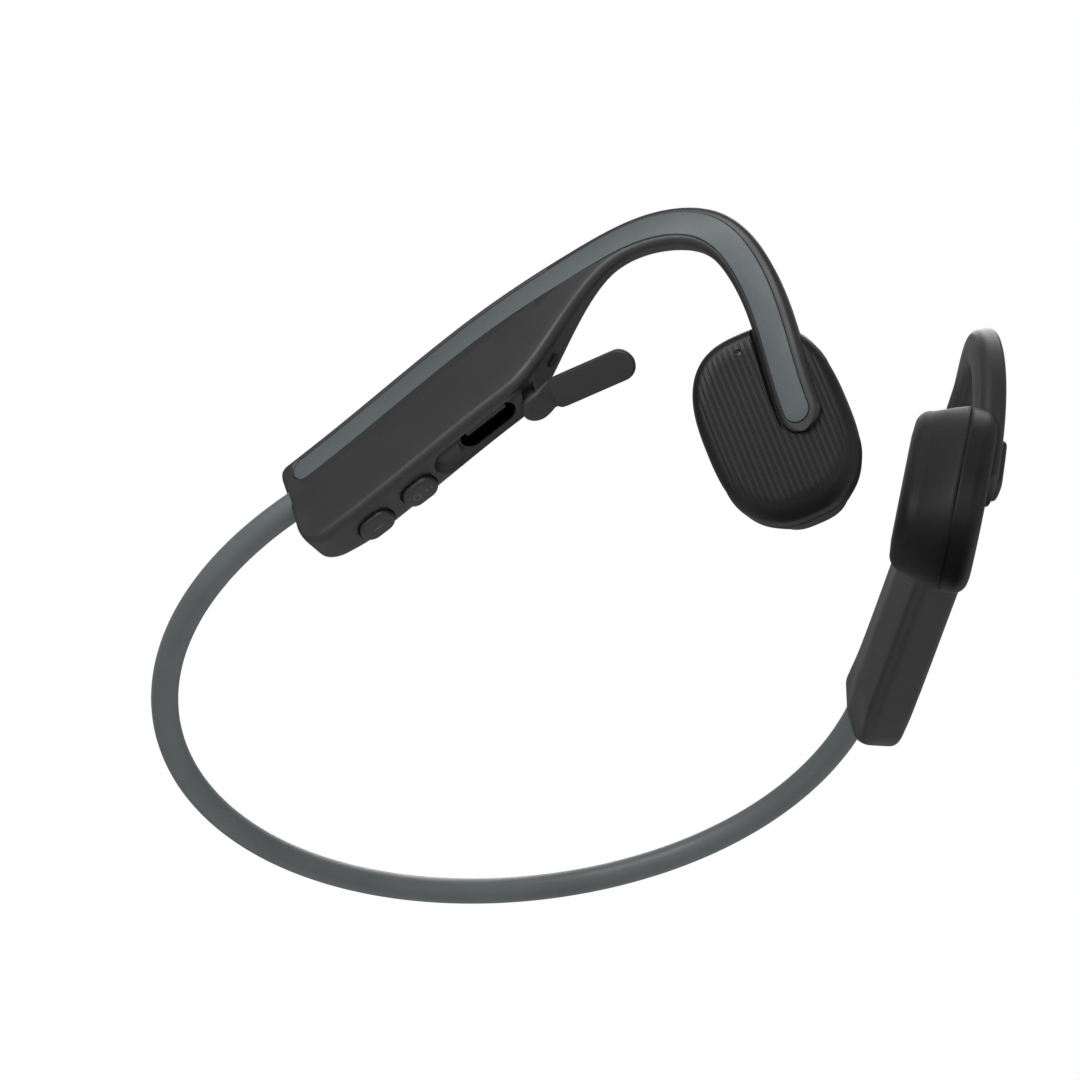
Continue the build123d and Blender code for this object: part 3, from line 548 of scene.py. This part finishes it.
def pod_face_mesh():
    flat = [-RIBBED_HALF + RIB_PITCH / 10 * k for k in range(201)]
    ends = [RIBBED_HALF + 1.345 * sin(pi / 2 * k / 16) for k in range(1, 17)]
    columns = [-x for x in reversed(ends)] + flat + ends
    rows = [-cos(pi * k / 70) for k in range(71)]
    points = []
    for x in columns:
        reach = pod_edge(x, POD_HALF_WIDTH, POD_HALF_LENGTH, POD_POWER)
        points += [POD @ Vector((x, reach * w, pod_height(x, reach * w))) for w in rows]
    top = len(points)
    for x in columns:
        reach = pod_edge(x, POD_HALF_WIDTH, POD_HALF_LENGTH, POD_POWER)
        points += [POD @ Vector((x, reach * w, 0.15)) for w in rows]
    n = len(rows)
    faces = []
    for i in range(len(columns) - 1):
        for j in range(n - 1):
            a = i * n + j
            faces.append((a, a + n, a + n + 1, a + 1))
            faces.append((top + a, top + a + 1, top + a + n + 1, top + a + n))
        for j, flip in ((0, False), (n - 1, True)):
            a = i * n + j
            wall = (a, top + a, top + a + n, a + n)
            faces.append(tuple(reversed(wall)) if flip else wall)
    for i, flip in ((0, True), (len(columns) - 1, False)):
        for j in range(n - 1):
            a = i * n + j
            wall = (a, top + a, top + a + 1, a + 1)
            faces.append(tuple(reversed(wall)) if flip else wall)
    return points, faces


def pad_mesh():
    """Tapering soft pad: upright at the parting line, then leaning in to a rounded contact face."""
    profile = [(0.25, -0.15), (0.05, -0.35), (0.0, -0.7)]
    profile += [(3.0 * (k / 14) ** 1.05, -0.7 - 4.6 * k / 14) for k in range(1, 15)]
    profile += [(3.0 + 2.2 * (1 - cos(a)), -5.3 - 2.2 * sin(a)) for a in half_turn(24)[1:13]]
    profile += [(5.2 + 0.5 * k, -7.5 - 0.05 * k) for k in range(1, 4)]
    rings = []
    for inset, height in profile:
        lengthwise = 0.25 * min(inset, 3.0) + max(0, inset - 3.0)
        half_width, half_length = POD_HALF_WIDTH - inset, POD_HALF_LENGTH - lengthwise
        power = POD_POWER + 0.12 * min(inset, 3.0)
        ring = []
        for k in range(96):
            a = 2 * pi * k / 96
            x = half_width * abs(cos(a)) ** (2 / power) * (1 if cos(a) > 0 else -1)
            y = half_length * abs(sin(a)) ** (2 / power) * (1 if sin(a) > 0 else -1)
            ring.append(POD @ Vector((x, y, height)))
        rings.append(ring)
    return rings_mesh(rings[::-1])


PINHOLE = (-0.8, 10.7)
for side in ("right", "left"):
    shell = mesh_piece(f"pod_face_{side}", *pod_face_mesh(), POD_SHELL, side)
    if side == "right":
        points, faces = bar_mesh(0.81, 0.8, [(0, 2.6), (0, 6)], in_frame(POD), PINHOLE)
        carve(shell, mesh_piece("cutter", points, faces, GAP))
    slot_length = 0.17 * ARM_LENGTH + 6.1
    slot_mesh = bar_mesh(slot_length, 6.1, [(0, -1.0), (0, 3)], on_arm(0.885))
    carve(shell, mesh_piece("cutter", *slot_mesh, GAP, side))
    soften(shell, 60)
    dress(shell, "headset", "pod_plastic", f"{side}_pod_shell")
    pad = soften(mesh_piece(f"pod_pad_skin_{side}", *pad_mesh(), PAD, side), 60)
    dress(pad, "headset", "pad_silicone", f"{side}_pod_pad")

# ------------------------------------------------------------ buttons
for name, at in BUTTONS.items():
    points, faces = bar_mesh(
        5.4, 3.7, rounded_levels(-0.4, 0.9, 0.55), in_frame(UNDERSIDE), (at, BUTTON_Y), step=0.4
    )
    button = soften(mesh_piece(f"{name}_cap", points, faces, BUTTON), 50)
    dress(button, name, "button_plastic", f"{name}_button")


def underside_mark(name, body, x, length, width, hole=0.0):
    """A raised mark on a button: a bar, or a ring when it has a hole."""
    levels = rounded_levels(0.86, 0.94, 0.03, steps=2)
    points, faces = bar_mesh(length, width, levels, in_frame(UNDERSIDE), (x, BUTTON_Y), step=0.3)
    mark = mesh_piece(name, points, faces, MARK)
    if hole:
        carve(mark, underside_cutter(x, BUTTON_Y, 0, 2, hole + 0.01, hole))
    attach(soften(mark), body)


plus_at = BUTTONS["volume_up"]
underside_mark("minus_bar", "volume_down", BUTTONS["volume_down"], 1.7, 0.3)
underside_mark("power_ring", "volume_up", plus_at - 0.7, 1.31, 1.3, 0.8)
for number, offset in ((1, 0.9), (2, 1.7)):
    underside_mark(f"plus_dot_{number}", "volume_up", plus_at + offset, 0.41, 0.4)

points, faces = bar_mesh(
    MULTI_LENGTH, STRIP_WIDTH, rounded_levels(-0.68, 0.8, 0.5), on_arm(MULTI_MIDDLE), step=0.5
)
multi = soften(mesh_piece("multifunction_cap", points, faces, BUTTON, "left"), 50)
dress(multi, "multifunction", "button_plastic", "left_multifunction_button")

# ------------------------------------------------------------ port cover
PLATE_LOW, PLATE_HIGH = FLOOR + 0.05, FLOOR + 1.15
STEM_X, NECK_X, LIFT, SWING = 7.05, 4.75, 2.6, 174
neck = Vector((NECK_X, 0, (PLATE_LOW + PLATE_HIGH) / 2))


def turn(point, axis, degrees):
    rotation = Matrix.Rotation(radians(degrees), 4, axis)
    return Matrix.Translation(point) @ rotation @ Matrix.Translation(-Vector(point))


swing = Matrix.Translation((0, 0, LIFT)) @ turn((STEM_X, 0, 0), "Z", -SWING)
OPEN_AXIS = Vector((0.8493, 0.4960, -0.1805))
OPEN_TURN = 46.4
BEND_FROM, BEND_TO = NECK_X - 1.3, NECK_X + 1.0
COVER_WIDTH, COVER_REACH = 4.4, 9.15


def open_cover(x, y, z):
    """A point of the closed cover, moved to the open pose: the neck droops and twists the flap."""
    share = 1 - smooth(BEND_FROM, BEND_TO, x)
    return (UNDERSIDE @ swing @ turn(neck, OPEN_AXIS, OPEN_TURN * share)) @ Vector((x, y, z))


def cover_half_width(x):
    """Half width of the cover: round at both ends, with a waist at the neck."""
    radius = COVER_WIDTH / 2
    along = COVER_REACH - abs(x)
    end = sqrt(max(0, radius ** 2 - max(0, radius - along) ** 2))
    return end * (1 - 0.12 * exp(-((x - NECK_X) / 1.1) ** 2))


def cover_mesh():
    """One rubber moulding: sections across its length, with softly rounded edges."""
    edge = 0.35
    stations = [-COVER_REACH * cos(pi * k / 150) for k in range(1, 150)]
    rings = []
    for x in stations:
        half = cover_half_width(x)
        soft = min(edge, half * 0.9)
        middle, tall = (PLATE_LOW + PLATE_HIGH) / 2, (PLATE_HIGH - PLATE_LOW) / 2
        tall *= min(1.0, 0.45 + 0.55 * sqrt(half / (COVER_WIDTH / 2)))
        ring = []
        for corner_y, corner_z, first in ((1, 1, 0), (-1, 1, 90), (-1, -1, 180), (1, -1, 270)):
            for k in range(6):
                a = radians(first + 90 * k / 5)
                y = corner_y * (half - soft) + soft * cos(a)
                ring.append(open_cover(x, y, middle + corner_z * (tall - soft) + soft * sin(a)))
        rings.append(ring)
    return rings_mesh(rings)


cover = soften(mesh_piece("port_flap", *cover_mesh(), RUBBER), 60)
end = to_row(open_cover(BEND_FROM, 0, neck.z))
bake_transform(cover)
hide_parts("charging_port_cover", "port_cover_tether")

plug_levels = rounded_levels(PLATE_LOW - 0.7, PLATE_LOW + 0.3, 0.01, 0.25, steps=3)
plug = mesh_piece("port_plug", *bar_mesh(8.5, 2.85, plug_levels, open_cover, step=0.5), RUBBER)
bore = mesh_piece("cutter", *bar_mesh(7.2, 1.55, [(0, -3), (0, -0.9)], open_cover), RUBBER)
carve(plug, bore)
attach(soften(plug, 45), "port_cover")

# light pipe in the curve under the right hook; its near-black shadow_gap colour is painted shade, the
# dark of the opening there
pipe_frame = frame_matrix((43.6, -1.9, -1.5), (0.82, 0.57, 0), (0.57, -0.82, 0))
points, faces = bar_mesh(2.0, 0.7, rounded_levels(-0.8, 0.12, 0.08), in_frame(pipe_frame), step=0.4)
pipe = soften(mesh_piece("light_pipe", points, faces, GAP))
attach(pipe, "headset")

# ------------------------------------------------------------ stage, lights and camera
CAMERA_DISTANCE = 0.6496
target = Vector((-8.3, -3.0, 9.3)) * MM
right = Vector((0.7773, -0.5883, -0.223)).normalized()
up = Vector((-0.2822, -0.6428, 0.7121)).normalized()
back = right.cross(up).normalized()
up = back.cross(right)
cam_rotation = Matrix((right, up, back)).transposed()

camera_data = bpy.data.cameras.new("camera")
camera_data.lens = 150
camera_data.sensor_width = 36
camera = bpy.data.objects.new("camera", camera_data)
camera.matrix_world = Matrix.Translation(target + back * CAMERA_DISTANCE) @ cam_rotation.to_4x4()
bpy.context.scene.collection.objects.link(camera)
bpy.context.scene.camera = camera


def area_light(name, direction, distance, size, power):
    """A soft box aimed at the object, placed in camera directions: right, up and back."""
    data = bpy.data.lights.new(name, "AREA")
    data.shape = "RECTANGLE"
    data.size, data.size_y = size
    data.energy = power
    light = bpy.data.objects.new(name, data)
    offset = cam_rotation @ Vector(direction).normalized()
    light.matrix_world = Matrix.Translation(target + offset * distance) @ (
        offset.to_track_quat("Z", "Y").to_matrix().to_4x4()
    )
    bpy.context.scene.collection.objects.link(light)
    light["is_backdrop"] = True


area_light("key", (-0.5, 1.0, 0.7), 0.6, (0.5, 0.3), 3.0)
area_light("side", (1.0, 0.15, 0.5), 0.6, (0.3, 0.5), 1.5)
area_light("rim", (0.2, 0.7, -1.0), 0.6, (0.5, 0.3), 2.0)

world = bpy.data.worlds.new("world")
bpy.context.scene.world = world
world.use_nodes = True
nodes, links = world.node_tree.nodes, world.node_tree.links
backdrop = nodes["Background"]
backdrop.inputs["Color"].default_value = (1, 1, 1, 1)
ambient = nodes.new("ShaderNodeBackground")
ambient.inputs["Color"].default_value = (1, 1, 1, 1)
ambient.inputs["Strength"].default_value = 0.29
rays = nodes.new("ShaderNodeLightPath")
choose = nodes.new("ShaderNodeMixShader")
links.new(rays.outputs["Is Camera Ray"], choose.inputs["Fac"])
links.new(ambient.outputs["Background"], choose.inputs[1])
links.new(backdrop.outputs["Background"], choose.inputs[2])
links.new(choose.outputs["Shader"], nodes["World Output"].inputs["Surface"])
bpy.context.scene.view_settings.view_transform = "Standard"

# the floor is seen only from above, because the camera looks up at the headset
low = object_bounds()[0]
FLOOR_SIZE, FLOOR_DROP = 3.0, 0.001
floor_z = low[2] - FLOOR_DROP
corners = [(-1, -1), (1, -1), (1, 1), (-1, 1)]
floor_data = bpy.data.meshes.new("floor")
points = [(x * FLOOR_SIZE, y * FLOOR_SIZE, floor_z) for x, y in corners]
floor_data.from_pydata(points, [], [(0, 1, 2, 3)])
floor = bpy.data.objects.new("floor", floor_data)
bpy.context.scene.collection.objects.link(floor)
floor_mat = bpy.data.materials.new("floor")
floor_mat.use_nodes = True
nodes, links = floor_mat.node_tree.nodes, floor_mat.node_tree.links
nodes["Principled BSDF"].inputs["Base Color"].default_value = (0.85, 0.85, 0.85, 1)
nodes["Principled BSDF"].inputs["Roughness"].default_value = 0.9
clear = nodes.new("ShaderNodeBsdfTransparent")
facing = nodes.new("ShaderNodeNewGeometry")
mix = nodes.new("ShaderNodeMixShader")
links.new(facing.outputs["Backfacing"], mix.inputs["Fac"])
links.new(nodes["Principled BSDF"].outputs["BSDF"], mix.inputs[1])
links.new(clear.outputs["BSDF"], mix.inputs[2])
links.new(mix.outputs["Shader"], nodes["Material Output"].inputs["Surface"])
floor_data.materials.append(floor_mat)
floor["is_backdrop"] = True
